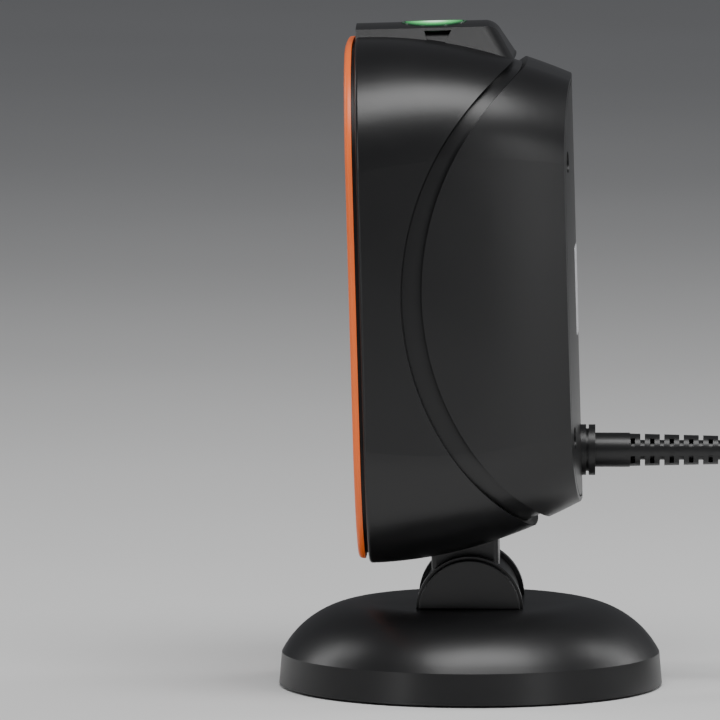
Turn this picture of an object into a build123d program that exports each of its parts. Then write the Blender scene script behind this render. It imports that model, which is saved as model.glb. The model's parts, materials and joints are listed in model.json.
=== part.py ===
from build123d import *
from math import atan, cos, pi, radians, sin, tan
import os

# Hands-free desktop barcode scanner: a scanning head on a short neck that tilts on a weighted
# round base.  Millimetres.  The origin is the centre of the base's underside, +Z is up, the
# scan window looks towards -X and the cord leaves towards +X.
# Head pieces are drawn in a head frame: its origin is on the hinge axis and it is upright.
# seat_head() leans them forward by lean_angle about that axis.

# ---- base ----
base_radius = 43.4
rim_bottom = 0.5
rim_top = 7.6
rim_draft = 0.6
plateau_radius = 24.0
plateau_height = 19.0
base_wall = 2.4
foot_radius = 38.0
foot_width = 11.0
foot_depth = 1.6
base_plate_thickness = 1.8
base_plate_gap = 0.25
ballast_inner_radius = 21.5
ballast_gap = 5.6
ballast_thickness = 6.0
base_boss_circle = 31.0
base_boss_radius = 3.2
base_screw_count = 4
base_screw_radius = 1.45
base_screw_head_radius = 2.7
base_screw_length = 7.0

# ---- hinge ----
hinge_height = 18.8
lean_angle = 1.6
ear_radius = 12.0
ear_inner = 12.0
ear_outer = 15.6
cap_thickness = 1.7
cap_inset = 0.6
knuckle_radius = 11.0
slot_gap = 0.4
bolt_radius = 2.5
running_gap = 0.05
counterbore_radius = 4.9
counterbore_depth = 2.4
bolt_head_radius = 4.3
bolt_head_height = 1.6
spring_washer_thickness = 0.7
friction_washer_thickness = 0.5
friction_washer_radius = 8.0
nut_across_flats = 7.8

# ---- neck ----
neck_front = -8.4
neck_rear = 6.8
neck_flange_bottom = 20.2
neck_flange_thickness = 2.6
neck_flange_front = -14.0
neck_flange_rear = 9.0
neck_flange_half_width = 18.0
neck_gap = 0.2
neck_screw_x = (-10.5, 4.5)
neck_screw_y = 14.8
neck_screw_radius = 1.3
neck_screw_length = 6.0
neck_screw_head_radius = 2.4
neck_boss_radius = 3.0

# ---- head shells ----
front_x = -22.2
head_depth = 48.2
mid_height = 70.2
mid_rise = 0.021
front_half_height = 59.4
front_half_width = 42.0
taper_curve = 0.0048
front_corner = 29.0
rear_corner = 19.0
side_crown = 1.4
top_crown = 2.2
rear_crown_radius = 247.0
shell_wall = 2.2
rear_inset = 0.5
rear_wall = 2.2
seam_gap = 0.3
seam_centre = (51.2, 72.1)
seam_radius = 64.2
band_centre = (55.3, 72.7)
band_radius = 63.6
band_depth = 1.5
lip_clearance = 0.15
lip_wall = 1.4
lip_reach = 2.4
lip_root = 7.5
front_edge_round = 0.8

# ---- window end ----
ring_half_height = 58.25
ring_thickness = 1.55
ring_width = 2.8
ring_edge_round = 1.0
ring_gap = 0.8
window_thickness = 1.0
window_recess = 0.15
window_clearance = 0.2
gasket_width = 3.0
frame_clearance = 0.2
frame_thickness = 2.6
frame_opening_half_width = 30.0
frame_opening_half_height = 44.0
frame_opening_corner = 12.0

# ---- case fastening ----
screw_y = 24.0
screw_z = 31.0
rear_plate_inset = 1.6
rear_plate_gap = 0.3
rear_plate_thickness = 2.4
ledge_inset = 4.0
ledge_thickness = 2.0
screw_hole_radius = 2.45
case_screw_head_radius = 2.3
case_screw_head_height = 1.4
case_screw_sink = 0.6
case_screw_radius = 1.3
case_screw_end = 0.0
post_radius = 3.4
post_meeting = 6.0
front_post_start = -16.0
label_half_width = 12.0
label_half_height = 10.0
label_thickness = 0.35
label_pocket = 0.3

# ---- button pod ----
pod_top = 131.85
pod_crown_radius = 55.0
pod_edge_height = 131.1
pod_half_width = 9.2
pod_side_slope = 0.95
pod_rear_top = 30.9
pod_rear_slope = 0.58
pod_corner = 3.5
pod_floor = 121.0
pod_wall = 2.0
grip_front = (-6.8, -5.9)
grip_rear = (-0.7, -2.3)
grip_heights = (130.5, 127.5)
grip_depth = 1.2
button_u = 17.5
button_hole_radius = 7.5
button_ring_radius = 7.4
button_ring_bore = 6.75
button_ring_flange = 8.0
button_ring_flange_height = 1.0
button_radius = 6.45
button_rise = 0.15
button_flange_radius = 7.6
button_travel = 0.8
button_stem_radius = 2.0
button_board_top = 119.0
board_thickness = 1.6
switch_size = 6.0
switch_height = 3.6
plunger_radius = 1.7
plunger_top = 124.4

# ---- electronics ----
chassis_front = -8.0
chassis_thickness = 2.0
chassis_half_width = 35.5
chassis_half_height = 40.0
chassis_post_y = 32.5
chassis_post_z = 24.0
small_screw_radius = 1.0
small_screw_head_radius = 1.9
small_screw_head_height = 1.2
small_screw_length = 6.0
small_post_radius = 2.6
camera_half = 11.0
lens_holder_half = 7.5
lens_holder_length = 6.0
lens_radius = 4.8
lens_front = -16.0
light_board_half_width = 22.0
light_board_height = 12.0
light_board_offset = 15.0
main_board_front = 2.0
main_board_half_width = 18.5
main_board_bottom = 29.0
main_board_top = 96.0
main_post_y = 15.5
main_post_z = (36.0, 92.0)

# ---- cord ----
cord_diameter = 4.5
exit_height = 53.5
flange_radius = 5.75
flange_rib = 1.5
flange_groove = 0.6
relief_neck_radius = 4.0
sleeve_radius = 3.9
sleeve_length = 7.8
flex_length = 26.0
flex_root_radius = 3.7
flex_tip_radius = 3.1
flex_pitch = 4.4
flex_slot = 1.0
flex_first_slot = 0.69
flex_window_width = 2.16
flex_window_angle = 34.0
flex_spine = 1.1
guard_sink = 0.45
guard_recess_radius = 6.0
guard_recess_depth = 0.7
guard_flange_radius = 6.2
guard_flange_thickness = 2.0
guard_flange_gap = 0.45
inner_lead_radius = 2.0
cord_fall = [(77.0, 0, 53.5), (90.5, 0, 45.5), (98.5, 0, 31.5), (107.0, 0, 18.5), (121.5, 0, 11.6)]
coil_mean_radius = 24.75
coil_turns_across = 3
coil_turns_high = 3
tie_thickness = 0.8
tie_width = 9.0
plug_body = (24.0, 15.6, 8.0)
plug_shell = (12.0, 12.0, 4.5)
plug_boot_length = 9.0
plug_offset = 14.0
plug_start = -10.75


def half_height(u):
    """Half the head's height u behind its front plane."""
    return front_half_height - taper_curve * u * u


def half_width(u):
    return half_height(u) - front_half_height + front_half_width


def head_outline(u, inset):
    """The head's outline at depth u, drawn inset inside the outer skin: four long crowned sides."""
    w = half_width(u) - inset
    h = half_height(u) - inset
    corner = front_corner + (rear_corner - front_corner) * u / head_depth - inset
    a = w - side_crown
    b = h - top_crown
    sides = [
        ThreePointArc((a, -b), (w, 0), (a, b)),
        ThreePointArc((a, b), (0, h), (-a, b)),
        ThreePointArc((-a, b), (-w, 0), (-a, -b)),
        ThreePointArc((-a, -b), (0, -h), (a, -b)),
    ]
    face = make_face(Curve() + sides)
    return fillet(face.vertices(), corner)


def across(x):
    """The plane across the head at x: its own x runs along +Y, its own y along +Z."""
    middle = mid_height + mid_rise * (x - front_x)
    return Plane(origin=(x, 0, middle), x_dir=(0, 1, 0), z_dir=(1, 0, 0))


def head_loft(inset, front_u=0.0, rear_u=None):
    """The head's body, inset all round, from front_u to rear_u behind the front plane."""
    last = head_depth if rear_u is None else rear_u
    stations = [front_u + (last - front_u) * i / 4 for i in range(5)]
    return loft([across(front_x + u) * head_outline(u, inset) for u in stations])


def drum(centre, radius, half_length=60.0):
    """A cylinder along Y, for the curved partings seen on the head's sides."""
    return Pos(centre[0], 0, centre[1]) * Rot(90, 0, 0) * Cylinder(radius, 2 * half_length)


def rod(x0, x1, radius, y=0.0, z=0.0):
    """A cylinder along X from x0 to x1."""
    return Pos((x0 + x1) / 2, y, z) * Rot(0, 90, 0) * Cylinder(radius, abs(x1 - x0))


def crossbar(y0, y1, radius):
    """A cylinder along Y through the hinge axis, in world coordinates."""
    return Pos(0, (y0 + y1) / 2, hinge_height) * Rot(90, 0, 0) * Cylinder(radius, abs(y1 - y0))


def block(x0, x1, y0, y1, z0, z1):
    size = (x1 - x0, y1 - y0, z1 - z0)
    return Pos((x0 + x1) / 2, (y0 + y1) / 2, (z0 + z1) / 2) * Box(*size)


def seat_head(part):
    """Puts a piece drawn in the head frame in its leaning rest place on the hinge."""
    return Pos(0, 0, hinge_height) * Rot(0, -lean_angle, 0) * part


def rear_crown(offset=0.0):
    """The upright cylinder that the head's rear face follows, offset inwards."""
    centre = front_x + head_depth - rear_crown_radius
    height = 2.2 * front_half_height
    return Pos(centre, 0, mid_height) * Cylinder(rear_crown_radius - offset, height)


def case_points():
    return [(sy * screw_y, mid_height + sz * screw_z) for sy in (-1, 1) for sz in (-1, 1)]


# ---------------------------------------------------------------- head shells
def pod_crown(offset):
    """The lengthwise cylinder that the pod's top and the button follow."""
    z = pod_top - pod_crown_radius
    return rod(front_x - 5, front_x + head_depth, pod_crown_radius + offset, 0, z)


def pod_sides(inset, bottom):
    """The pod's cross-section along the head: two sloping sides."""
    shift = inset * (1 + pod_side_slope**2) ** 0.5
    low = pod_half_width - shift + pod_side_slope * (pod_edge_height - bottom)
    high = pod_half_width - shift - pod_side_slope
    top = pod_edge_height + 1.0
    face = Polyline((-low, bottom), (low, bottom), (high, top), (-high, top), close=True)
    start = Plane(origin=(front_x, 0, 0), x_dir=(0, 1, 0), z_dir=(1, 0, 0))
    return extrude(start * make_face(face), head_depth)


def pod_body(inset):
    """The button pod: crowned top, sloping sides and rear end, rounded rear corners."""
    rear_high = front_x + pod_rear_top - inset
    rear_low = rear_high + pod_rear_slope * (pod_top - pod_floor)
    corners = [(front_x, pod_floor), (rear_low, pod_floor), (rear_high, pod_top), (front_x, pod_top)]
    side = make_face(Polyline(*corners, close=True))
    body = extrude(Plane.XZ * side, pod_half_width * 3, both=True)
    body = body & pod_sides(inset, pod_floor) & pod_crown(-inset)
    rear = body.faces().sort_by(Axis.X)[-1]
    slanted = [e for e in rear.edges() if abs(e.center().Y) > pod_half_width / 2]
    return fillet(slanted, pod_corner - inset)


def pod():
    """The pod with a grip pocket in each of its sloping sides."""
    body = pod_body(0.0)
    high, low = grip_heights
    corners = [(grip_front[0], high), (grip_rear[0], high), (grip_rear[1], low), (grip_front[1], low)]
    grip = extrude(Plane.XZ * make_face(Polyline(*corners, close=True)), pod_half_width * 3, both=True)
    return body - (grip - pod_body(grip_depth))


def front_shell():
    outer = head_loft(0.0)
    outer = fillet(outer.faces().sort_by(Axis.X)[0].edges(), front_edge_round) + pod()
    hollow = head_loft(shell_wall, -1.0, head_depth + 1.0)
    wide = 2 * pod_half_width
    front_wall = block(front_x - 1, front_x + pod_wall, -wide, wide, pod_floor, pod_top)
    hollow += pod_body(pod_wall) - front_wall
    shell = outer - hollow - drum(seam_centre, seam_radius)
    shell -= stack(pod_top - 3 * pod_wall, pod_top + pod_wall, button_hole_radius)
    shell += button_posts()
    shell += front_posts()
    shell += neck_bosses()
    slot = block(
        neck_front - neck_gap,
        neck_rear + neck_gap,
        -ear_inner + friction_washer_thickness - neck_gap,
        ear_inner - friction_washer_thickness + neck_gap,
        0,
        neck_flange_bottom,
    )
    return shell - slot - neck_bores()


def button_post_points():
    x = front_x + button_u
    return [(x - 10.8, 0), (x + 10.8, 0)]


def button_posts():
    posts = Part()
    ceiling = pod_top - pod_wall + 0.2
    for x, y in button_post_points():
        post = Pos(x, y, (button_board_top + ceiling) / 2) * Cylinder(
            small_post_radius - 0.6, ceiling - button_board_top
        )
        bore = Pos(x, y, button_board_top) * Cylinder(small_screw_radius, 2 * small_screw_length)
        posts += post - bore
    return posts


def front_posts():
    """Screw posts from the front shell's side walls, one for each case screw."""
    posts = Part()
    skin = head_loft(shell_wall / 2)
    for y, z in case_points():
        side = 1 if y > 0 else -1
        reach = half_width(10) * side
        web = block(
            front_post_start, front_x + 12.0, min(y, reach), max(y, reach), z - 0.9, z + 0.9
        )
        post = rod(front_post_start, post_meeting, post_radius, y, z) + (web & skin)
        posts += post - rod(case_screw_end - 1.0, post_meeting, case_screw_radius + running_gap, y, z)
    return posts


def neck_bosses():
    """Four bosses on the shell's floor that carry the neck's flange."""
    bosses = Part()
    inside = head_loft(shell_wall / 2)
    for x in neck_screw_x:
        for y in (-neck_screw_y, neck_screw_y):
            boss = Pos(x, y, neck_flange_bottom / 2) * Cylinder(neck_boss_radius, neck_flange_bottom)
            bosses += boss & inside
    return bosses


def neck_bores():
    bores = Part()
    depth = neck_screw_length - neck_flange_thickness + 0.4
    for x in neck_screw_x:
        for y in (-neck_screw_y, neck_screw_y):
            bores += Pos(x, y, neck_flange_bottom) * Cylinder(
                neck_screw_radius + running_gap, 2 * depth
            )
    return bores


def rear_shell():
    seam = seam_radius - seam_gap
    skin = head_loft(rear_inset) - head_loft(rear_inset + rear_wall, -1.0, head_depth + 1.0)
    groove = head_loft(rear_inset - 1.0) - head_loft(rear_inset + band_depth, -1.0, head_depth + 1.0)
    skin = (skin & drum(seam_centre, seam)) - (groove - drum(band_centre, band_radius))
    lip_outer = shell_wall + lip_clearance
    lip = head_loft(lip_outer) - head_loft(lip_outer + lip_wall, -1.0, head_depth + 1.0)
    lip = (lip & drum(seam_centre, seam + lip_reach)) - drum(seam_centre, seam - lip_root)
    lip -= block(
        front_x,
        neck_flange_rear + 2.5,
        -neck_flange_half_width - 1,
        neck_flange_half_width + 1,
        0,
        neck_flange_bottom + neck_flange_thickness + 1,
    )
    ledge = head_loft(rear_inset + rear_wall / 2) - plate_outline(ledge_inset)
    shell = skin + lip + (ledge - rear_crown(rear_plate_thickness + ledge_thickness))
    top = front_x + head_depth
    bores = Part()
    for y, z in case_points():
        reach = half_width(head_depth) * (1 if y > 0 else -1)
        web = block(post_meeting + 4, top, min(y, reach), max(y, reach), z - 0.9, z + 0.9)
        shell += rod(post_meeting, top, post_radius, y, z) + (web & head_loft(rear_inset + 1.0))
        bores += rod(post_meeting - 1, top, case_screw_radius + running_gap, y, z)
    seat = plate_outline(rear_plate_inset - rear_plate_gap) - rear_crown(rear_plate_thickness)
    return (shell & rear_crown()) - seat - bores


def plate_outline(inset):
    """A straight block with the rear face's outline, drawn inset, through the head's rear end."""
    start = Pos(front_x + head_depth - 12, 0, across(front_x + head_depth).origin.Z)
    return start * extrude(Plane.YZ * head_outline(head_depth, inset), 14)


def rear_plate():
    """The crowned rear cover, with countersunk screw holes, a label pocket and the cord's hole."""
    plate = (plate_outline(rear_plate_inset) & rear_crown()) - rear_crown(rear_plate_thickness)
    for y, z in case_points():
        face = front_x + head_depth
        plate -= rod(case_seat_x(), face + 1, screw_hole_radius, y, z)
        plate -= rod(face - 9, face + 1, case_screw_radius + running_gap, y, z)
    pocket = across(front_x + head_depth - 5) * RectangleRounded(
        2 * label_half_width + 0.4, 2 * label_half_height + 0.4, 1.2
    )
    plate -= extrude(pocket, 6) - rear_crown(label_pocket)
    z = socket_height()
    face = front_x + head_depth
    plate -= rod(face - guard_recess_depth, face + 1, guard_recess_radius, 0, z)
    return plate - rod(face - 2 * rear_plate_thickness, face, relief_neck_radius + 0.35, 0, z)


def case_seat_x():
    """Where the case screws' heads bear, measured at the screws' own place on the crown."""
    rise = rear_crown_radius - (rear_crown_radius**2 - screw_y**2) ** 0.5
    return front_x + head_depth - rise - case_screw_sink - case_screw_head_height


def rear_label():
    outline = across(front_x + head_depth - 5) * RectangleRounded(
        2 * label_half_width, 2 * label_half_height, 1.0
    )
    label = extrude(outline, 6) & rear_crown(label_pocket - label_thickness)
    return label - rear_crown(label_pocket)


def case_screws():
    screws = Part()
    seat = case_seat_x()
    for y, z in case_points():
        head = rod(seat, seat + case_screw_head_height, case_screw_head_radius, y, z)
        recess = extrude(
            Plane(origin=(seat + 0.5, y, z), z_dir=(1, 0, 0)) * cross_recess(2.4), 2.0
        )
        shank = rod(case_screw_end, seat, case_screw_radius, y, z)
        screws += head + shank - recess
    return screws


def cross_recess(size):
    return Rectangle(size, 0.6) + Rectangle(0.6, size)


# ---------------------------------------------------------------- window end
def ring_outline(inset):
    """The window's outline: the head's own front outline, drawn inwards to the ring's height."""
    return head_outline(0.0, front_half_height - ring_half_height + inset)


def window_frame():
    back = frame_front()
    rim = extrude(across(back) * head_outline(0.0, shell_wall + frame_clearance), frame_thickness)
    opening = RectangleRounded(
        2 * frame_opening_half_width, 2 * frame_opening_half_height, frame_opening_corner
    )
    rim -= extrude(across(back - 1) * opening, frame_thickness + 2)
    for y, z in chassis_points():
        post = rod(back + frame_thickness - 0.5, chassis_front, small_post_radius, y, z)
        bore = rod(chassis_front - small_screw_length, chassis_front, small_screw_radius, y, z)
        rim += post - bore
    return rim


def frame_front():
    return front_x - ring_gap


def trim_ring():
    back = frame_front() - ring_thickness
    ring = extrude(across(back) * ring_outline(0.0), ring_thickness)
    ring = fillet(ring.faces().sort_by(Axis.X)[0].edges(), ring_edge_round)
    return ring - extrude(across(back - 1) * ring_outline(ring_width), ring_thickness + 2)


def window_back():
    return frame_front() - ring_thickness + window_recess + window_thickness


def scan_window():
    outline = ring_outline(ring_width + window_clearance)
    return extrude(across(window_back() - window_thickness) * outline, window_thickness)


def window_gasket():
    outline = ring_outline(ring_width + window_clearance)
    inner = ring_outline(ring_width + window_clearance + gasket_width)
    depth = frame_front() - window_back()
    return extrude(across(window_back()) * (outline - inner), depth)


# ---------------------------------------------------------------- optics and boards
def chassis_points():
    return [
        (sy * chassis_post_y, mid_height + sz * chassis_post_z) for sy in (-1, 1) for sz in (-1, 1)
    ]


def main_points():
    return [(sy * main_post_y, z) for sy in (-1, 1) for z in main_post_z]


def optics_chassis():
    back = chassis_front + chassis_thickness
    w, h = chassis_half_width, chassis_half_height
    plate = block(chassis_front, back, -w, w, mid_height - h, mid_height + h)
    plate = fillet(plate.edges().filter_by(Axis.X), 4.0)
    for y, z in chassis_points():
        plate -= rod(chassis_front - 1, back + 1, small_screw_radius + 0.15, y, z)
    for y, z in case_points():
        plate -= rod(chassis_front - 1, back + 1, post_radius + 0.5, y, z)
    half = lens_holder_half + 0.3
    plate -= block(
        chassis_front - 1, back + 1, -half, half, mid_height - half, mid_height + half
    )
    for y, z in main_points():
        post = rod(back - 0.5, main_board_front, small_post_radius, y, z)
        bore = rod(main_board_front - small_screw_length, main_board_front, small_screw_radius, y, z)
        plate += post - bore
    return plate


def camera_board():
    x = chassis_front + chassis_thickness
    c = camera_half
    return block(x, x + 1.2, -c, c, mid_height - c, mid_height + c)


def image_sensor():
    x = chassis_front + chassis_thickness
    return block(x - 1.0, x, -3.5, 3.5, mid_height - 3.0, mid_height + 3.0)


def lens_holder():
    x = chassis_front + chassis_thickness
    h = lens_holder_half
    body = block(x - lens_holder_length, x, -h, h, mid_height - h, mid_height + h)
    body = fillet(body.edges().filter_by(Axis.X), 1.2)
    body -= block(x - 2.0, x + 1, -4.5, 4.5, mid_height - 4.5, mid_height + 4.5)
    return body - rod(x - lens_holder_length - 1, x - 1, lens_radius + running_gap, 0, mid_height)


def lens_barrel():
    back = chassis_front + chassis_thickness - 2.4
    barrel = rod(lens_front, back, lens_radius, 0, mid_height)
    barrel += rod(lens_front, lens_front + 2.5, lens_radius + 0.9, 0, mid_height)
    barrel -= rod(lens_front - 1, back + 1, 2.6, 0, mid_height)
    return barrel - rod(lens_front - 1, lens_front + 2.0, 3.9, 0, mid_height)


def lens_glass():
    glass = rod(lens_front + 0.5, lens_front + 2.0, 3.85, 0, mid_height)
    return fillet(glass.faces().sort_by(Axis.X)[0].edges(), 0.6)


def light_boards():
    x = chassis_front
    w = light_board_half_width
    boards = Part()
    for side in (-1, 1):
        near = mid_height + side * light_board_offset
        far = near + side * light_board_height
        boards += block(x - 1.2, x, -w, w, min(near, far), max(near, far))
    return boards


def light_points():
    middle = light_board_offset + light_board_height / 2
    return [
        (y, mid_height + side * middle) for side in (-1, 1) for y in (-16.5, -5.5, 5.5, 16.5)
    ]


def light_leds():
    x = chassis_front - 1.2
    leds = Part()
    for y, z in light_points():
        leds += block(x - 0.8, x, y - 1.75, y + 1.75, z - 1.4, z + 1.4)
    return leds


def light_reflectors():
    """Two moulded blocks of cone-shaped cups, one cup for each LED."""
    x = chassis_front - 1.2
    blocks = Part()
    w = light_board_half_width - 0.5
    for side in (-1, 1):
        near = mid_height + side * (light_board_offset + 1)
        far = mid_height + side * (light_board_offset + light_board_height - 1)
        blocks += block(x - 6.0, x, -w, w, min(near, far), max(near, far))
    for y, z in light_points():
        cup = Pos(x - 3.0, y, z) * Rot(0, -90, 0) * Cone(2.6, 5.0, 6.2)
        blocks -= cup
    return blocks


def aiming_led():
    x = chassis_front
    y = 16.0
    lamp = rod(x - 4.6, x, 2.4, y, mid_height) + rod(x - 1.0, x, 2.9, y, mid_height)
    return fillet(lamp.faces().sort_by(Axis.X)[0].edges(), 1.6)


def main_board():
    back = main_board_front + board_thickness
    w = main_board_half_width
    board = block(main_board_front, back, -w, w, main_board_bottom, main_board_top)
    board = fillet(board.edges().filter_by(Axis.X), 2.0)
    for y, z in main_points():
        board -= rod(main_board_front - 1, back + 1, small_screw_radius + 0.15, y, z)
    return board


def board_back():
    return main_board_front + board_thickness


def processor_chip():
    chip = block(board_back(), board_back() + 1.3, -6.5, 6.5, 60, 73)
    return chamfer(chip.faces().sort_by(Axis.X)[-1].edges(), 0.25)


def memory_chip():
    return block(board_back(), board_back() + 1.0, -13.0, -8.5, 58, 67)


def shield_can():
    can = block(board_back(), board_back() + 2.6, -8, 8, 43, 55)
    can = fillet(can.edges().filter_by(Axis.X), 1.0)
    return can - block(board_back() - 1, board_back() + 2.2, -7.6, 7.6, 43.4, 54.6)


def beeper():
    body = rod(board_back(), board_back() + 7.0, 6.0, 0, 83)
    return body - rod(board_back() + 4.0, board_back() + 8.0, 1.2, 0, 83)


def socket_height():
    return exit_height - hinge_height - 0.7


def cord_socket():
    z = socket_height()
    x = board_back()
    body = block(x, x + 6.0, -6.0, 6.0, z - 3.0, z + 3.0)
    return body - block(x + 1.5, x + 7.0, -5.0, 5.0, z - 2.2, z + 2.2)


def lead_plug():
    z = socket_height()
    x = board_back() + 1.5
    return block(x, x + 6.0, -4.8, 4.8, z - 2.0, z + 2.0)


def inner_lead():
    z = socket_height()
    relief_start = front_x + head_depth - rear_plate_thickness - 2.6
    return rod(board_back() + 7.5, relief_start - 0.9, inner_lead_radius, 0, z)


def small_screw(place):
    """A screw drawn with its shank along the place's -z and its head above."""
    head = Pos(0, 0, small_screw_head_height / 2) * Cylinder(
        small_screw_head_radius, small_screw_head_height
    )
    reach = small_screw_length + board_thickness - 1.0
    shank = Pos(0, 0, -reach / 2) * Cylinder(small_screw_radius - 0.02, reach)
    recess = Pos(0, 0, small_screw_head_height - 0.5) * extrude(cross_recess(2.0), 1.0)
    return place * (head + shank - recess)


def board_screws():
    screws = Part()
    for y, z in chassis_points():
        place = Plane(origin=(chassis_front + chassis_thickness, y, z), z_dir=(1, 0, 0))
        screws += small_screw(place)
    for y, z in main_points():
        screws += small_screw(Plane(origin=(board_back(), y, z), z_dir=(1, 0, 0)))
    for x, y in button_post_points():
        place = Plane(origin=(x, y, button_board_top - board_thickness), z_dir=(0, 0, -1))
        screws += small_screw(place)
    return screws


# ---------------------------------------------------------------- button
def button_centre():
    return front_x + button_u


def stack(z0, z1, radius):
    return Pos(button_centre(), 0, (z0 + z1) / 2) * Cylinder(radius, z1 - z0)


def button_cap():
    under = pod_top - pod_wall - button_ring_flange_height
    cap = stack(under - 0.9, pod_top + 1, button_radius) & pod_crown(button_rise)
    cap += stack(under - 0.9, under - 0.1, button_flange_radius)
    return cap + stack(plunger_top, under - 0.9, button_stem_radius)


def button_ring():
    seat = pod_top - pod_wall
    ring = stack(seat - button_ring_flange_height, pod_top + 1, button_ring_radius)
    ring = ring & pod_crown(button_rise)
    flange = stack(seat - button_ring_flange_height, seat, button_ring_flange)
    ring += flange & pod_body(pod_wall + running_gap)
    return ring - stack(seat - 5, pod_top + 5, button_ring_bore)


def button_board():
    x = button_centre()
    board = block(x - 13.5, x + 13.5, -9, 9, button_board_top - board_thickness, button_board_top)
    board = fillet(board.edges().filter_by(Axis.Z), 2.5)
    for px, py in button_post_points():
        board -= Pos(px, py, button_board_top) * Cylinder(small_screw_radius + 0.15, 5)
    return board


def button_switch():
    half = switch_size / 2
    x = button_centre()
    body = block(x - half, x + half, -half, half, button_board_top, button_board_top + switch_height)
    return body - stack(button_board_top + 1.0, pod_top, plunger_radius + 0.3)


def switch_plunger():
    return stack(button_board_top + 1.0 + button_travel + 0.2, plunger_top, plunger_radius)


def button_leds():
    leds = Part()
    x = button_centre()
    for y in (-5.4, 5.4):
        leds += block(x - 1.6, x + 1.6, y - 0.8, y + 0.8, button_board_top, button_board_top + 0.8)
    return leds


# ---------------------------------------------------------------- neck and hinge
def neck():
    half = ear_inner - friction_washer_thickness
    knuckle = Rot(90, 0, 0) * Cylinder(knuckle_radius, 2 * half)
    column = block(neck_front, neck_rear, -half, half, 0, neck_flange_bottom + 0.5)
    column = fillet(column.edges().filter_by(Axis.Z), 1.2)
    flange = block(
        neck_flange_front,
        neck_flange_rear,
        -neck_flange_half_width,
        neck_flange_half_width,
        neck_flange_bottom,
        neck_flange_bottom + neck_flange_thickness,
    )
    flange = fillet(flange.edges().filter_by(Axis.Z), 2.5)
    part = knuckle + column + flange
    for x in neck_screw_x:
        for y in (-neck_screw_y, neck_screw_y):
            part -= Pos(x, y, neck_flange_bottom) * Cylinder(neck_screw_radius + 0.15, 12)
    return part - Rot(90, 0, 0) * Cylinder(bolt_radius + running_gap, 2 * half + 2)


def neck_screws():
    top = neck_flange_bottom + neck_flange_thickness
    screws = Part()
    for x in neck_screw_x:
        for y in (-neck_screw_y, neck_screw_y):
            head = Pos(x, y, top + 0.8) * Cylinder(neck_screw_head_radius, 1.6)
            shank = Pos(x, y, top - neck_screw_length / 2) * Cylinder(
                neck_screw_radius, neck_screw_length
            )
            recess = Pos(x, y, top + 0.9) * extrude(cross_recess(2.4), 1.0)
            screws += head + shank - recess
    return screws


def ear(side):
    """One ear of the base's clevis, with the recess that the bolt's head or nut sits in."""
    lo, hi = sorted((side * ear_inner, side * ear_outer))
    disc = crossbar(lo, hi, ear_radius)
    bore = crossbar(lo - 1, hi + 1, bolt_radius + running_gap)
    lo, hi = sorted((side * (ear_outer - counterbore_depth), side * (ear_outer + 1)))
    return disc, bore + crossbar(lo, hi, counterbore_radius)


def base_cover():
    dome_radius = (
        (base_radius - rim_draft - plateau_radius) ** 2 + (plateau_height - rim_top) ** 2
    ) / (2 * (plateau_height - rim_top))
    cover = dome_solid(0.0, dome_radius)
    cover -= dome_solid(base_wall, dome_radius)
    half = ear_inner
    reach = knuckle_radius + slot_gap
    for side in (-1, 1):
        disc, cut = ear(side)
        cover += disc
        cover -= cut
    cover -= block(-reach, reach, -half, half, hinge_height - 8, plateau_height + 1)
    inside = dome_solid(base_wall / 2, dome_radius)
    for place in base_boss_places():
        boss = place * Pos(0, 0, 10) * Cylinder(base_boss_radius, 20)
        boss &= inside
        boss -= Pos(0, 0, -5) * Cylinder(60, 2 * (base_plate_top() + 5))
        cover += boss - place * Pos(0, 0, base_plate_top()) * Cylinder(
            base_screw_radius + running_gap, 2 * (base_screw_length - base_plate_thickness)
        )
    return cover


def dome_solid(inset, dome_radius):
    """The base's turned outline, drawn inset inside its outer skin."""
    foot = base_radius - inset
    low = rim_bottom if inset == 0 else rim_bottom - 1
    centre = (plateau_radius, plateau_height - dome_radius)
    radius = dome_radius - inset
    start_angle = atan((rim_top - centre[1]) / (base_radius - rim_draft - plateau_radius))
    start = (centre[0] + radius * cos(start_angle), centre[1] + radius * sin(start_angle))
    middle_angle = (start_angle + radians(90)) / 2
    middle = (centre[0] + radius * cos(middle_angle), centre[1] + radius * sin(middle_angle))
    top = (plateau_radius, centre[1] + radius)
    outline = Polyline(top, (0, top[1]), (0, low), (foot, low), start)
    face = make_face(Plane.XZ * (outline + ThreePointArc(start, middle, top)))
    return revolve(face, Axis.Z)


def base_boss_places():
    return [
        Rot(0, 0, 45 + 360 * i / base_screw_count) * Pos(base_boss_circle, 0, 0)
        for i in range(base_screw_count)
    ]


def base_plate_top():
    return foot_depth + base_plate_thickness


def base_plate():
    radius = base_radius - base_wall - base_plate_gap
    plate = Pos(0, 0, foot_depth + base_plate_thickness / 2) * Cylinder(radius, base_plate_thickness)
    for place in base_boss_places():
        plate -= place * Cylinder(base_screw_radius + 0.2, 20)
    return plate


def foot_ring():
    """The rubber ring that the scanner stands on; it hides the base's screws."""
    ring = Cylinder(foot_radius, foot_depth) - Cylinder(foot_radius - foot_width, foot_depth)
    ring = fillet(ring.edges().group_by(Axis.Z)[0], 0.4)
    ring = Pos(0, 0, foot_depth / 2) * ring
    for place in base_boss_places():
        ring -= place * Pos(0, 0, foot_depth) * Cylinder(base_screw_head_radius + 0.2, 2.4)
    return ring


def base_screws():
    screws = Part()
    for place in base_boss_places():
        head = Pos(0, 0, foot_depth - 0.55) * Cylinder(base_screw_head_radius, 1.1)
        shank = Pos(0, 0, foot_depth + base_screw_length / 2) * Cylinder(
            base_screw_radius, base_screw_length
        )
        screws += place * (head + shank)
    return screws


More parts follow.
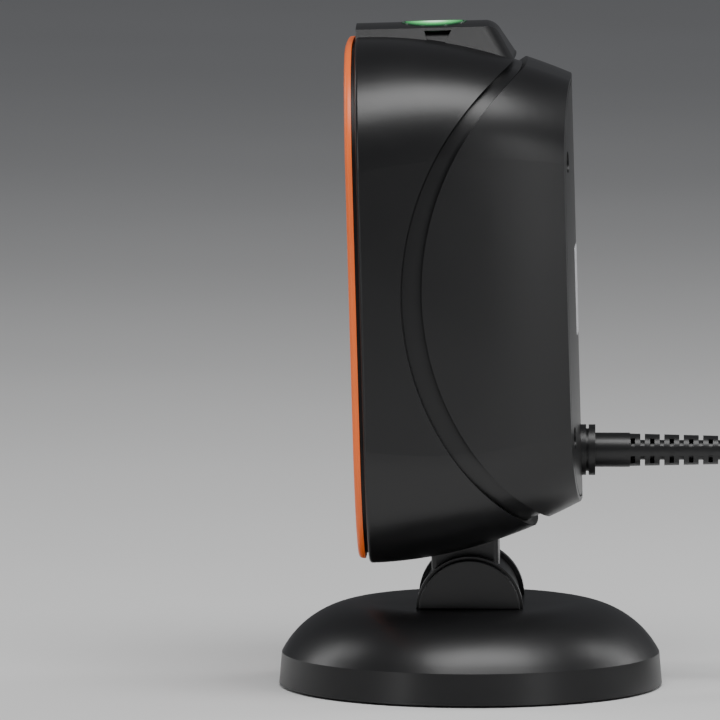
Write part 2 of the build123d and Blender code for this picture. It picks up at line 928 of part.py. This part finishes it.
def ballast():
    """A steel ring that keeps the scanner from tipping, notched round the screw bosses."""
    outer = base_radius - base_wall - ballast_gap
    z = base_plate_top() + ballast_thickness / 2
    ring = Pos(0, 0, z) * (
        Cylinder(outer, ballast_thickness) - Cylinder(ballast_inner_radius, ballast_thickness)
    )
    ring = chamfer(ring.edges().group_by(Axis.Z)[-1], 1.0)
    for place in base_boss_places():
        ring -= place * Cylinder(base_boss_radius + 0.5, 60)
    return ring


def hinge_bolt():
    seat = ear_outer - counterbore_depth + spring_washer_thickness
    bolt = crossbar(-seat - bolt_head_height, -seat, bolt_head_radius)
    bolt += crossbar(-seat, ear_outer - 0.1, bolt_radius)
    slot = Pos(0, -seat - bolt_head_height, hinge_height) * Box(1.0, 1.2, 2 * bolt_head_radius)
    return bolt - slot


def hinge_nut():
    seat = ear_outer - counterbore_depth + spring_washer_thickness
    hexagon = RegularPolygon(nut_across_flats / 2, 6, major_radius=False)
    nut = Pos(0, seat + bolt_head_height, hinge_height) * extrude(Plane.XZ * hexagon, bolt_head_height)
    return nut - crossbar(0, 20, bolt_radius + 0.02)


def spring_washers():
    washers = Part()
    seat = ear_outer - counterbore_depth
    for side in (-1, 1):
        lo, hi = sorted((side * seat, side * (seat + spring_washer_thickness)))
        washers += crossbar(lo, hi, bolt_head_radius) - crossbar(lo, hi, bolt_radius + 0.1)
    return washers


def friction_washers():
    washers = Part()
    for side in (-1, 1):
        lo, hi = sorted((side * (ear_inner - friction_washer_thickness), side * ear_inner))
        washers += crossbar(lo, hi, friction_washer_radius) - crossbar(lo, hi, bolt_radius + 0.1)
    return washers


def hinge_cap(side):
    """The half-round cover on an ear's outer face."""
    lo, hi = sorted((side * ear_outer, side * (ear_outer + cap_thickness)))
    disc = crossbar(lo, hi, ear_radius - cap_inset)
    below = block(-20, 20, lo - 1, hi + 1, 0, plateau_height)
    cap = disc - below
    outer_face = cap.faces().sort_by(Axis.Y)[0 if side < 0 else -1]
    return fillet(outer_face.edges(), 0.35)


# ---------------------------------------------------------------- cord
def exit_x():
    """World x of the rear plate's outer face where the cord leaves it."""
    z = exit_height - hinge_height
    return (front_x + head_depth) * cos(radians(lean_angle)) - z * sin(radians(lean_angle))


def relief_lengths():
    flange_end = exit_x() - guard_sink + 2 * flange_rib + flange_groove
    sleeve_end = flange_end + sleeve_length
    return flange_end, sleeve_end, sleeve_end + flex_length


def strain_relief():
    """Moulded cord guard: inner flange, two outer ribs, plain sleeve, and a slotted flexible end."""
    z = exit_height
    start = exit_x()
    flange_end, sleeve_end, tip = relief_lengths()
    inner = start - rear_plate_thickness - guard_flange_gap
    first = start - guard_sink
    body = rod(inner - guard_flange_thickness, inner, guard_flange_radius, 0, z)
    body += rod(inner, first, relief_neck_radius, 0, z)
    body += rod(first, first + flange_rib, flange_radius, 0, z)
    body += rod(first + flange_rib, flange_end - flange_rib, flange_radius - 0.9, 0, z)
    body += rod(flange_end - flange_rib, flange_end, flange_radius, 0, z)
    body += rod(flange_end, sleeve_end, sleeve_radius, 0, z)
    middle = (sleeve_end + tip) / 2
    guard = Pos(middle, 0, z) * Rot(0, 90, 0) * Cone(flex_root_radius, flex_tip_radius, flex_length)
    body += guard
    core = rod(sleeve_end - 1, tip + 1, cord_diameter / 2, 0, z)
    slots = Part()
    reach = flex_root_radius
    window = Pos(0, reach, 0) * Box(flex_slot, 2 * reach, flex_window_width)
    gap = Pos(0, 0, flex_spine + reach) * Box(flex_slot, 3 * reach, 2 * reach)
    turns = [side * flex_window_angle + half for side in (-1, 1) for half in (0, 180)]
    for i in range(int((flex_length - flex_first_slot) / flex_pitch)):
        x = sleeve_end + flex_first_slot + i * flex_pitch
        for turn in turns:
            slots += Pos(x, 0, z) * Rot(turn, 0, 0) * window
        for half in (0, 180):
            slots += Pos(x + flex_pitch / 2, 0, z) * Rot(half, 0, 0) * gap
    return body - (slots - core)


def coil_centre():
    tail = cord_fall[-1]
    return (tail[0], coil_mean_radius + cord_diameter)


def cord_tube():
    start = (relief_lengths()[2], 0, exit_height)
    end = cord_fall[-1]
    points = [start] + cord_fall
    vectors = [Vector(*p) for p in points]
    radii = []
    for a, b, c in zip(vectors, vectors[1:], vectors[2:]):
        turn = (b - a).get_angle(c - b)
        shorter = min((b - a).length, (c - b).length)
        radii.append(0.45 * shorter / tan(radians(turn / 2)))
    path = FilletPolyline(*points, radius=radii)
    print("cord radii", [round(r, 1) for r in radii])
    profile = Plane(origin=start, z_dir=vectors[1] - vectors[0]) * Circle(cord_diameter / 2)
    tube = sweep(profile, path=path)
    section = pi * (cord_diameter / 2) ** 2
    print("cord volume", round(tube.volume, 1), "section x length", round(section * path.length, 1))
    print("tube length", round(path.length, 1), "ends at", end)
    return tube


def coil_box():
    width = coil_turns_across * cord_diameter
    height = coil_turns_high * cord_diameter
    return width, height


def cord_coil():
    """The put-away cord: the outer shape of a neat round coil."""
    width, height = coil_box()
    x, y = coil_centre()
    bundle = RectangleRounded(width, height, cord_diameter / 2)
    place = Plane.XZ * Pos(coil_mean_radius, tie_thickness + height / 2)
    return Pos(x, y, 0) * revolve(place * bundle, Axis.Z)


def cord_tie():
    width, height = coil_box()
    x, y = coil_centre()
    middle = y + coil_mean_radius
    loop = block(
        x - tie_width / 2,
        x + tie_width / 2,
        middle - width / 2 - tie_thickness,
        middle + width / 2 + tie_thickness,
        0,
        height + 2 * tie_thickness,
    )
    loop = fillet(loop.edges().filter_by(Axis.X), cord_diameter / 2)
    return loop - cord_coil()


def plug_place():
    """The plug lies on the coil, its nose towards +X."""
    x, y = coil_centre()
    top = tie_thickness + coil_turns_high * cord_diameter
    return Pos(x + plug_start, y - plug_offset, top + plug_body[2] / 2)


def usb_plug():
    length, width, height = plug_body
    boot = Pos(plug_boot_length / 2, 0, 0) * Rot(0, 90, 0) * Cone(
        cord_diameter / 2 + 0.5, cord_diameter / 2 + 1.2, plug_boot_length
    )
    body = Pos(plug_boot_length + length / 2, 0, 0) * Box(length, width, height)
    body = fillet(body.edges().filter_by(Axis.X), 2.0)
    body = fillet(body.faces().sort_by(Axis.X)[0].edges(), 1.0)
    return plug_place() * (boot + body)


def usb_shell():
    length, width, height = plug_shell
    start = plug_boot_length + plug_body[0]
    shell = Pos(start + length / 2, 0, 0) * Box(length, width, height)
    hollow = Pos(start + length / 2 + 1, 0, 0) * Box(length, width - 0.6, height - 0.6)
    tongue = Pos(start + length / 2, 0, 0.9) * Box(length - 1, width - 1.0, 1.6)
    return plug_place() * (shell - hollow + tongue)


HEAD = {
    "front_shell": front_shell,
    "rear_shell": rear_shell,
    "rear_plate": rear_plate,
    "rear_label": rear_label,
    "case_screws": case_screws,
    "window_frame": window_frame,
    "trim_ring": trim_ring,
    "scan_window": scan_window,
    "window_gasket": window_gasket,
    "optics_chassis": optics_chassis,
    "camera_board": camera_board,
    "image_sensor": image_sensor,
    "lens_holder": lens_holder,
    "lens_barrel": lens_barrel,
    "lens_glass": lens_glass,
    "light_boards": light_boards,
    "light_leds": light_leds,
    "light_reflectors": light_reflectors,
    "aiming_led": aiming_led,
    "main_board": main_board,
    "processor_chip": processor_chip,
    "memory_chip": memory_chip,
    "shield_can": shield_can,
    "beeper": beeper,
    "cord_socket": cord_socket,
    "lead_plug": lead_plug,
    "inner_lead": inner_lead,
    "board_screws": board_screws,
    "button_cap": button_cap,
    "button_ring": button_ring,
    "button_board": button_board,
    "button_switch": button_switch,
    "switch_plunger": switch_plunger,
    "button_leds": button_leds,
    "neck": neck,
    "neck_screws": neck_screws,
}

STANDING = {
    "base_cover": base_cover,
    "base_plate": base_plate,
    "foot_ring": foot_ring,
    "base_screws": base_screws,
    "ballast": ballast,
    "hinge_bolt": hinge_bolt,
    "hinge_nut": hinge_nut,
    "spring_washers": spring_washers,
    "friction_washers": friction_washers,
    "strain_relief": strain_relief,
    "cord_tube": cord_tube,
    "cord_coil": cord_coil,
    "cord_tie": cord_tie,
    "usb_plug": usb_plug,
    "usb_shell": usb_shell,
}

os.makedirs("parts", exist_ok=True)
for name, make in HEAD.items():
    export_step(seat_head(make()), f"parts/{name}.step")
for name, make in STANDING.items():
    export_step(make(), f"parts/{name}.step")
export_step(hinge_cap(-1) + hinge_cap(1), "parts/hinge_caps.step")
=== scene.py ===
"""Looks for the hands-free barcode scanner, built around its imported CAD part.

Everything is in metres, in the part's own frame: +Z up, the scan window looks towards -X, the cord
leaves towards +X, and the head tilts about the Y axis.
"""

import json
import math

import bpy
from mathutils import Matrix, Vector


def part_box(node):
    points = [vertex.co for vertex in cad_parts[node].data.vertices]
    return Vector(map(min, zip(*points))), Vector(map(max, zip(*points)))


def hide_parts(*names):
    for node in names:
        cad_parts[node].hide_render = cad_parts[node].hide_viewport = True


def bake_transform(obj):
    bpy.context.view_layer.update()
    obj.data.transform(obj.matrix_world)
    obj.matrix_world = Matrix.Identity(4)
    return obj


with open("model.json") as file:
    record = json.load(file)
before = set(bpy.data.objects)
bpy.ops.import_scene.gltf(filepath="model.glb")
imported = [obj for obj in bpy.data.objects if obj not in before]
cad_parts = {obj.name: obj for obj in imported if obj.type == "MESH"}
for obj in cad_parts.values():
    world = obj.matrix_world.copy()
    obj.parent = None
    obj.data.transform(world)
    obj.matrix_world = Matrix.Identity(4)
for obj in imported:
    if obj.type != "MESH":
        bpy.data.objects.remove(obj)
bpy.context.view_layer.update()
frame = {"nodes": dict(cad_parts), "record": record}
MM = 0.001

# The view: degrees round from the side, degrees above the table, metres away, and the aim.
CAMERA_AZIMUTH = 1.5
CAMERA_ELEVATION = 5.6
CAMERA_DISTANCE = 2.5
CAMERA_TARGET = Vector((-0.0251, 0, 0.07375))
CAMERA_LENS = 552.5
LIGHT_TARGET = (0, 0, 0.08)
FLOOR_HALF_SIZE = 6.0
FLOOR_STEPS = 8


# ---------------------------------------------------------------- camera, floor and lights
def add_camera():
    """A long lens, a little above the table, looking along the hinge's axis."""
    azimuth, elevation = math.radians(CAMERA_AZIMUTH), math.radians(CAMERA_ELEVATION)
    back = Vector((
        math.sin(azimuth) * math.cos(elevation),
        -math.cos(azimuth) * math.cos(elevation),
        math.sin(elevation),
    ))
    data = bpy.data.cameras.new("camera")
    data.sensor_width = 36.0
    data.lens = CAMERA_LENS
    data.clip_end = 50.0
    camera = bpy.data.objects.new("camera", data)
    camera.location = CAMERA_TARGET + back * CAMERA_DISTANCE
    camera.rotation_mode = "QUATERNION"
    camera.rotation_quaternion = (-back).to_track_quat("-Z", "Y")
    bpy.context.scene.collection.objects.link(camera)
    bpy.context.scene.camera = camera


def add_area_light(name, place, target, size, power):
    """A rectangular soft light at place, turned to face target."""
    data = bpy.data.lights.new(name, "AREA")
    data.shape = "RECTANGLE"
    data.size, data.size_y = size
    data.energy = power
    light = bpy.data.objects.new(name, data)
    light.location = place
    direction = Vector(target) - Vector(place)
    light.rotation_mode = "QUATERNION"
    light.rotation_quaternion = direction.to_track_quat("-Z", "Y")
    bpy.context.scene.collection.objects.link(light)


def add_lights():
    middle = LIGHT_TARGET
    add_area_light("key_softbox", (0.1, -0.4, 0.95), middle, (0.9, 0.45), 10.0)
    add_area_light("left_strip", (-0.62, -0.7, 0.3), middle, (0.1, 0.45), 0.9)
    add_area_light("right_strip", (0.62, -0.7, 0.3), middle, (0.1, 0.45), 0.9)
    add_area_light("rear_strip", (0.75, 0.35, 0.45), middle, (0.2, 0.6), 3.0)
    add_area_light("front_strip", (-0.8, 0.3, 0.5), middle, (0.2, 0.6), 2.0)
    world = bpy.data.worlds.new("soft_room")
    world.use_nodes = True
    background = world.node_tree.nodes["Background"]
    background.inputs["Color"].default_value = (0.92, 0.94, 1.0, 1)
    background.inputs["Strength"].default_value = 0.12
    bpy.context.scene.world = world


# ---------------------------------------------------------------- material helpers
def fresh(name):
    """A new node material: (material, its node tree, its Principled shader)."""
    material = bpy.data.materials.new(name)
    material.use_nodes = True
    tree = material.node_tree
    return material, tree, tree.nodes["Principled BSDF"]


def place_noise(tree, scale, detail=2.0, roughness=0.5, stretch=(1, 1, 1)):
    """Noise in the piece's own space, so that it rides with the piece."""
    coordinates = tree.nodes.new("ShaderNodeTexCoord")
    mapping = tree.nodes.new("ShaderNodeMapping")
    mapping.inputs["Scale"].default_value = stretch
    noise = tree.nodes.new("ShaderNodeTexNoise")
    noise.inputs["Scale"].default_value = scale
    noise.inputs["Detail"].default_value = detail
    noise.inputs["Roughness"].default_value = roughness
    tree.links.new(coordinates.outputs["Object"], mapping.inputs["Vector"])
    tree.links.new(mapping.outputs["Vector"], noise.inputs["Vector"])
    return noise.outputs["Fac"]


def ramp(tree, value, low, high, start=0.3, end=0.7):
    """value mapped from start..end to low..high, for a roughness or a mix."""
    node = tree.nodes.new("ShaderNodeMapRange")
    node.inputs["From Min"].default_value = start
    node.inputs["From Max"].default_value = end
    node.inputs["To Min"].default_value = low
    node.inputs["To Max"].default_value = high
    tree.links.new(value, node.inputs["Value"])
    return node.outputs["Result"]


def tint(tree, value, dark, light):
    """A colour that drifts between two close tones."""
    node = tree.nodes.new("ShaderNodeMix")
    node.data_type = "RGBA"
    node.inputs["A"].default_value = (*dark, 1)
    node.inputs["B"].default_value = (*light, 1)
    tree.links.new(ramp(tree, value, 0, 1), node.inputs["Factor"])
    return node.outputs["Result"]


def add_bump(tree, shader, height, distance, strength=1.0):
    node = tree.nodes.new("ShaderNodeBump")
    node.inputs["Distance"].default_value = distance
    node.inputs["Strength"].default_value = strength
    tree.links.new(height, node.inputs["Height"])
    tree.links.new(node.outputs["Normal"], shader.inputs["Normal"])


def moulded(name, colour, roughness, grain=0.00035, depth=0.00001, coat=0.0, specular=0.5):
    """Moulded plastic: spark-eroded grain in the tool, faint flow marks and handling sheen."""
    material, tree, shader = fresh(name)
    cloudy = place_noise(tree, 28, 3)
    dark = [c * 0.88 for c in colour]
    light = [min(1, c * 1.12) for c in colour]
    tree.links.new(tint(tree, cloudy, dark, light), shader.inputs["Base Color"])
    fine = place_noise(tree, 1 / grain, 3, 0.65)
    tree.links.new(ramp(tree, cloudy, roughness - 0.035, roughness + 0.035), shader.inputs["Roughness"])
    add_bump(tree, shader, fine, depth)
    shader.inputs["Specular IOR Level"].default_value = specular
    shader.inputs["Coat Weight"].default_value = coat
    shader.inputs["Coat Roughness"].default_value = 0.12
    return material


def metal(name, colour, roughness, stretch=(1, 1, 1), depth=0.000006):
    """Metal with a drawn or turned grain and uneven polish."""
    material, tree, shader = fresh(name)
    lines = place_noise(tree, 900, 4, 0.7, stretch)
    patches = place_noise(tree, 120, 2)
    dark = [c * 0.8 for c in colour]
    tree.links.new(tint(tree, patches, dark, colour), shader.inputs["Base Color"])
    tree.links.new(ramp(tree, lines, roughness - 0.08, roughness + 0.1), shader.inputs["Roughness"])
    shader.inputs["Metallic"].default_value = 1.0
    add_bump(tree, shader, lines, depth)
    return material


def solder_mask(name, colour):
    """A circuit board's lacquer over its copper tracks, which show as a faint raised maze."""
    material, tree, shader = fresh(name)
    coordinates = tree.nodes.new("ShaderNodeTexCoord")
    tracks = tree.nodes.new("ShaderNodeTexBrick")
    tracks.inputs["Scale"].default_value = 420
    tracks.inputs["Mortar Size"].default_value = 0.18
    tracks.offset = 0.37
    tracks.inputs["Color1"].default_value = (*colour, 1)
    tracks.inputs["Color2"].default_value = (*[c * 0.85 for c in colour], 1)
    tracks.inputs["Mortar"].default_value = (*[min(1, c * 1.7) for c in colour], 1)
    tree.links.new(coordinates.outputs["Object"], tracks.inputs["Vector"])
    tree.links.new(tracks.outputs["Color"], shader.inputs["Base Color"])
    add_bump(tree, shader, tracks.outputs["Fac"], 0.00004)
    shader.inputs["Roughness"].default_value = 0.3
    shader.inputs["Coat Weight"].default_value = 0.4
    return material


def clear_glass(name, colour, roughness=0.03):
    """Coated optical glass with a trace of haze."""
    material, tree, shader = fresh(name)
    haze = place_noise(tree, 300, 2)
    tree.links.new(ramp(tree, haze, roughness, roughness + 0.03), shader.inputs["Roughness"])
    tree.links.new(tint(tree, haze, [c * 0.94 for c in colour], colour), shader.inputs["Base Color"])
    shader.inputs["Transmission Weight"].default_value = 0.9
    shader.inputs["IOR"].default_value = 1.5
    return material


def lit_green(name):
    """The button's translucent lens, brightest in the middle where the LEDs shine through."""
    material, tree, shader = fresh(name)
    low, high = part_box("button_cap")
    centre = (low + high) / 2
    coordinates = tree.nodes.new("ShaderNodeTexCoord")
    distance = tree.nodes.new("ShaderNodeVectorMath")
    distance.operation = "DISTANCE"
    distance.inputs[1].default_value = (centre.x, centre.y, high.z)
    tree.links.new(coordinates.outputs["Object"], distance.inputs[0])
    colours = tree.nodes.new("ShaderNodeValToRGB")
    radius = (high.y - low.y) / 2
    near = tree.nodes.new("ShaderNodeMapRange")
    near.inputs["From Max"].default_value = radius
    tree.links.new(distance.outputs["Value"], near.inputs["Value"])
    tree.links.new(near.outputs["Result"], colours.inputs["Fac"])
    first, last = colours.color_ramp.elements
    first.position, first.color = 0.15, (0.75, 1.0, 0.78, 1)
    last.position, last.color = 0.8, (0.02, 0.2, 0.05, 1)
    middle = colours.color_ramp.elements.new(0.45)
    middle.color = (0.1, 0.62, 0.18, 1)
    tree.links.new(colours.outputs["Color"], shader.inputs["Base Color"])
    tree.links.new(colours.outputs["Color"], shader.inputs["Emission Color"])
    shader.inputs["Emission Strength"].default_value = 0.8
    haze = place_noise(tree, 900, 2)
    tree.links.new(ramp(tree, haze, 0.22, 0.3), shader.inputs["Roughness"])
    return material


def woven(name, colour, pitch=0.0006):
    """A close woven tape: threads over and under, with a little fuzz."""
    material, tree, shader = fresh(name)
    coordinates = tree.nodes.new("ShaderNodeTexCoord")
    heights = []
    for direction in ("X", "Z"):
        wave = tree.nodes.new("ShaderNodeTexWave")
        wave.bands_direction = direction
        wave.inputs["Scale"].default_value = 0.314 / pitch
        wave.inputs["Distortion"].default_value = 0.6
        wave.inputs["Detail Scale"].default_value = 2
        tree.links.new(coordinates.outputs["Object"], wave.inputs["Vector"])
        heights.append(wave.outputs["Fac"])
    over = tree.nodes.new("ShaderNodeMath")
    over.operation = "MULTIPLY"
    tree.links.new(heights[0], over.inputs[0])
    tree.links.new(heights[1], over.inputs[1])
    light = [min(1, c * 2.2) for c in colour]
    tree.links.new(tint(tree, over.outputs["Value"], colour, light), shader.inputs["Base Color"])
    add_bump(tree, shader, over.outputs["Value"], 0.0001)
    shader.inputs["Roughness"].default_value = 0.9
    shader.inputs["Sheen Weight"].default_value = 0.3
    return material


def satin_film(name, colour):
    """A blank label's film, with a faint brushed sheen."""
    material, tree, shader = fresh(name)
    brushed = place_noise(tree, 500, 3, 0.6, (1, 0.04, 1))
    tree.links.new(tint(tree, brushed, [c * 0.93 for c in colour], colour), shader.inputs["Base Color"])
    tree.links.new(ramp(tree, brushed, 0.32, 0.45), shader.inputs["Roughness"])
    shader.inputs["Metallic"].default_value = 0.15
    return material


MATERIALS = {
    "shell": lambda: moulded("satin_shell", (0.007, 0.007, 0.0075), 0.33),
    "base_plastic": lambda: moulded("satin_base", (0.007, 0.007, 0.0075), 0.35),
    "inner_black": lambda: moulded("inner_black", (0.006, 0.006, 0.0062), 0.5),
    "orange_trim": lambda: moulded("orange_trim", (1.0, 0.16, 0.025), 0.4, depth=0.000004),
    "dark_window": lambda: moulded("tinted_window", (0.006, 0.0045, 0.005), 0.06, depth=0, coat=1.0),
    "foam": lambda: moulded("foam", (0.02, 0.02, 0.02), 0.95, grain=0.0006, depth=0.0001),
    "label": lambda: satin_film("silver_label", (0.62, 0.63, 0.65)),
    "screw_steel": lambda: metal("dark_zinc", (0.32, 0.32, 0.34), 0.35),
    "circuit_board": lambda: solder_mask("green_board", (0.01, 0.1, 0.035)),
    "white_board": lambda: solder_mask("white_board", (0.55, 0.55, 0.53)),
    "sensor": lambda: moulded("sensor_glass", (0.03, 0.035, 0.06), 0.1, depth=0, coat=1.0),
    "lens": lambda: clear_glass("coated_lens", (0.75, 0.8, 0.95)),
    "led_white": lambda: moulded("phosphor", (0.85, 0.8, 0.45), 0.4),
    "reflector": lambda: metal("metallised", (0.85, 0.85, 0.86), 0.15),
    "chip": lambda: moulded("epoxy_chip", (0.02, 0.02, 0.021), 0.55),
    "tin_plate": lambda: metal("tin_plate", (0.7, 0.7, 0.68), 0.3, (1, 8, 1)),
    "connector": lambda: moulded("natural_nylon", (0.72, 0.68, 0.58), 0.42),
    "green_lens": lambda: lit_green("lit_green"),
    "dark_green": lambda: moulded("light_guide", (0.012, 0.1, 0.035), 0.2, coat=0.5),
    "foot_rubber": lambda: moulded("foot_rubber", (0.015, 0.015, 0.015), 0.75, depth=0.00004),
    "ballast_steel": lambda: metal("turned_steel", (0.38, 0.37, 0.36), 0.4, (6, 6, 1)),
    "washer_plastic": lambda: moulded("acetal", (0.6, 0.58, 0.52), 0.35),
    "relief_rubber": lambda: moulded("relief_rubber", (0.011, 0.011, 0.0115), 0.38, grain=0.0003),
    "cord_pvc": lambda: moulded("cord_jacket", (0.01, 0.01, 0.0105), 0.42, grain=0.0004),
    "plug_pvc": lambda: moulded("plug_overmould", (0.018, 0.018, 0.019), 0.42),
    "plug_metal": lambda: metal("nickel_plate", (0.75, 0.73, 0.7), 0.18, (1, 6, 1)),
    "tie": lambda: woven("woven_tie", (0.018, 0.018, 0.02)),
}


def paint_nodes():
    """Gives every CAD node its slot's finish."""
    made = {}
    for part in frame["record"]["subparts"]:
        slot = part["material_slot"]
        if slot not in made:
            made[slot] = MATERIALS[slot]()
        data = frame["nodes"][part["node"]].data
        data.materials.clear()
        data.materials.append(made[slot])
        for polygon in data.polygons:
            polygon.material_index = 0
    return made


# ---------------------------------------------------------------- cord
CORD_DIAMETER = 4.5 * MM
CORD_FALL = [
    (61.97, 0, 53.5), (77.0, 0, 53.5), (90.5, 0, 45.5),
    (98.5, 0, 31.5), (107.0, 0, 18.5), (121.5, 0, 11.6),
]
COIL_RADII = (29.25, 24.75, 20.25)
COIL_CENTRE = (121.5, 29.25)
COIL_LEVELS = (12.05, 7.55, 3.05)
COIL_STEPS = 16
PLUG_TAIL = (110.75, 15.25, 18.3)


def coil_turns():
    """The put-away cord's points: column by column, three turns to each, wound from the outside in."""
    order = []
    for column, radius in enumerate(COIL_RADII):
        levels = COIL_LEVELS if column % 2 == 0 else COIL_LEVELS[::-1]
        order += [(radius, level) for level in levels]
    widen = 1 / (0.75 + 0.25 * math.cos(2 * math.pi / COIL_STEPS))
    points = []
    for turn, (radius, level) in enumerate(order):
        following = order[min(turn + 1, len(order) - 1)]
        for step in range(1, COIL_STEPS + 1):
            if turn == 0 and step == 1:
                continue
            share = max(0.0, (step - (COIL_STEPS - 3)) / 3)
            r = radius + (following[0] - radius) * share
            z = level + (following[1] - level) * share
            angle = -math.pi / 2 + 2 * math.pi * step / COIL_STEPS
            x = COIL_CENTRE[0] + r * widen * math.cos(angle)
            y = COIL_CENTRE[1] + r * widen * math.sin(angle)
            points.append((x, y, z))
    return points


def tail_points():
    """The free end: up inside the coil and over its top to the plug."""
    points = []
    for step in range(1, 11):
        angle = -math.pi / 2 + 2 * math.pi * step / COIL_STEPS
        share = step / 10
        r = 20.25 + (15.9 - 20.25) * min(1, share * 2.5)
        points.append((
            COIL_CENTRE[0] + r * math.cos(angle),
            COIL_CENTRE[1] + r * math.sin(angle),
            3.05 + 12.5 * share**1.3,
        ))
    return points + [(105.2, 18.0, 17.9), (107.5, 15.6, 18.3), PLUG_TAIL]


def spline_line(points):
    """The points that Blender gives for an open NURBS spline of order 3 on these control points."""
    curve = bpy.data.curves.new("cord_route", "CURVE")
    curve.dimensions = "3D"
    curve.resolution_u = 8
    spline = curve.splines.new("NURBS")
    spline.points.add(len(points) - 1)
    for point, place in zip(spline.points, points):
        point.co = (*[c * MM for c in place], 1)
    spline.order_u = 3
    spline.use_endpoint_u = True
    holder = bpy.data.objects.new("cord_route", curve)
    mesh = bpy.data.meshes.new_from_object(holder)
    line = [v.co.copy() for v in mesh.vertices]
    bpy.data.objects.remove(holder)
    bpy.data.curves.remove(curve)
    bpy.data.meshes.remove(mesh)
    return line


def new_piece(name, vertices, faces, material):
    """A smooth-shaded mesh object in the scene."""
    mesh = bpy.data.meshes.new(name)
    mesh.from_pydata([tuple(v) for v in vertices], [], faces)
    mesh.update()
    mesh.shade_smooth()
    mesh.materials.append(material)
    piece = bpy.data.objects.new(name, mesh)
    bpy.context.scene.collection.objects.link(piece)
    return piece


def tube_mesh(line, radius, sides=16):
    """(vertices, faces) of a closed tube along a line, its rings turned as little as possible."""
    vertices, faces = [], []
    tangent = (line[1] - line[0]).normalized()
    side = tangent.orthogonal().normalized()
    for i, centre in enumerate(line):
        before, after = line[max(i - 1, 0)], line[min(i + 1, len(line) - 1)]
        turned = (after - before).normalized()
        side = (tangent.rotation_difference(turned) @ side).normalized()
        tangent = turned
        other = tangent.cross(side)
        for k in range(sides):
            angle = 2 * math.pi * k / sides
            vertices.append(centre + radius * (side * math.cos(angle) + other * math.sin(angle)))
    for i in range(len(line) - 1):
        for k in range(sides):
            a, b = i * sides + k, i * sides + (k + 1) % sides
            faces.append((a, b, b + sides, a + sides))
    last = (len(line) - 1) * sides
    faces.append(tuple(reversed(range(sides))))
    faces.append(tuple(last + k for k in range(sides)))
    return vertices, faces


def add_cord(materials):
    """The whole lead as one tube: the fall from the guard, the coil, and the tail to the plug."""
    line = spline_line(CORD_FALL + coil_turns() + tail_points())
    vertices, faces = tube_mesh(line, CORD_DIAMETER / 2)
    cord = new_piece("cord", vertices, faces, materials["cord_pvc"])
    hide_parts("cord_tube", "cord_coil")
    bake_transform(cord)


def add_floor():
    """A wide pale table top."""
    size, steps = FLOOR_HALF_SIZE, FLOOR_STEPS
    vertices = [
        (size * (2 * i / steps - 1), size * (2 * j / steps - 1), 0)
        for j in range(steps + 1) for i in range(steps + 1)
    ]
    faces = [
        (a, a + 1, a + steps + 2, a + steps + 1)
        for j in range(steps) for a in range(j * (steps + 1), j * (steps + 1) + steps)
    ]
    material, tree, shader = fresh("pale_floor")
    soft = place_noise(tree, 3, 2)
    tree.links.new(tint(tree, soft, (0.74, 0.74, 0.735), (0.78, 0.78, 0.775)), shader.inputs["Base Color"])
    shader.inputs["Roughness"].default_value = 0.7
    mesh = bpy.data.meshes.new("floor")
    mesh.from_pydata(vertices, [], faces)
    mesh.materials.append(material)
    floor = bpy.data.objects.new("floor", mesh)
    bpy.context.scene.collection.objects.link(floor)


add_camera()
add_lights()
materials = paint_nodes()
add_cord(materials)
add_floor()
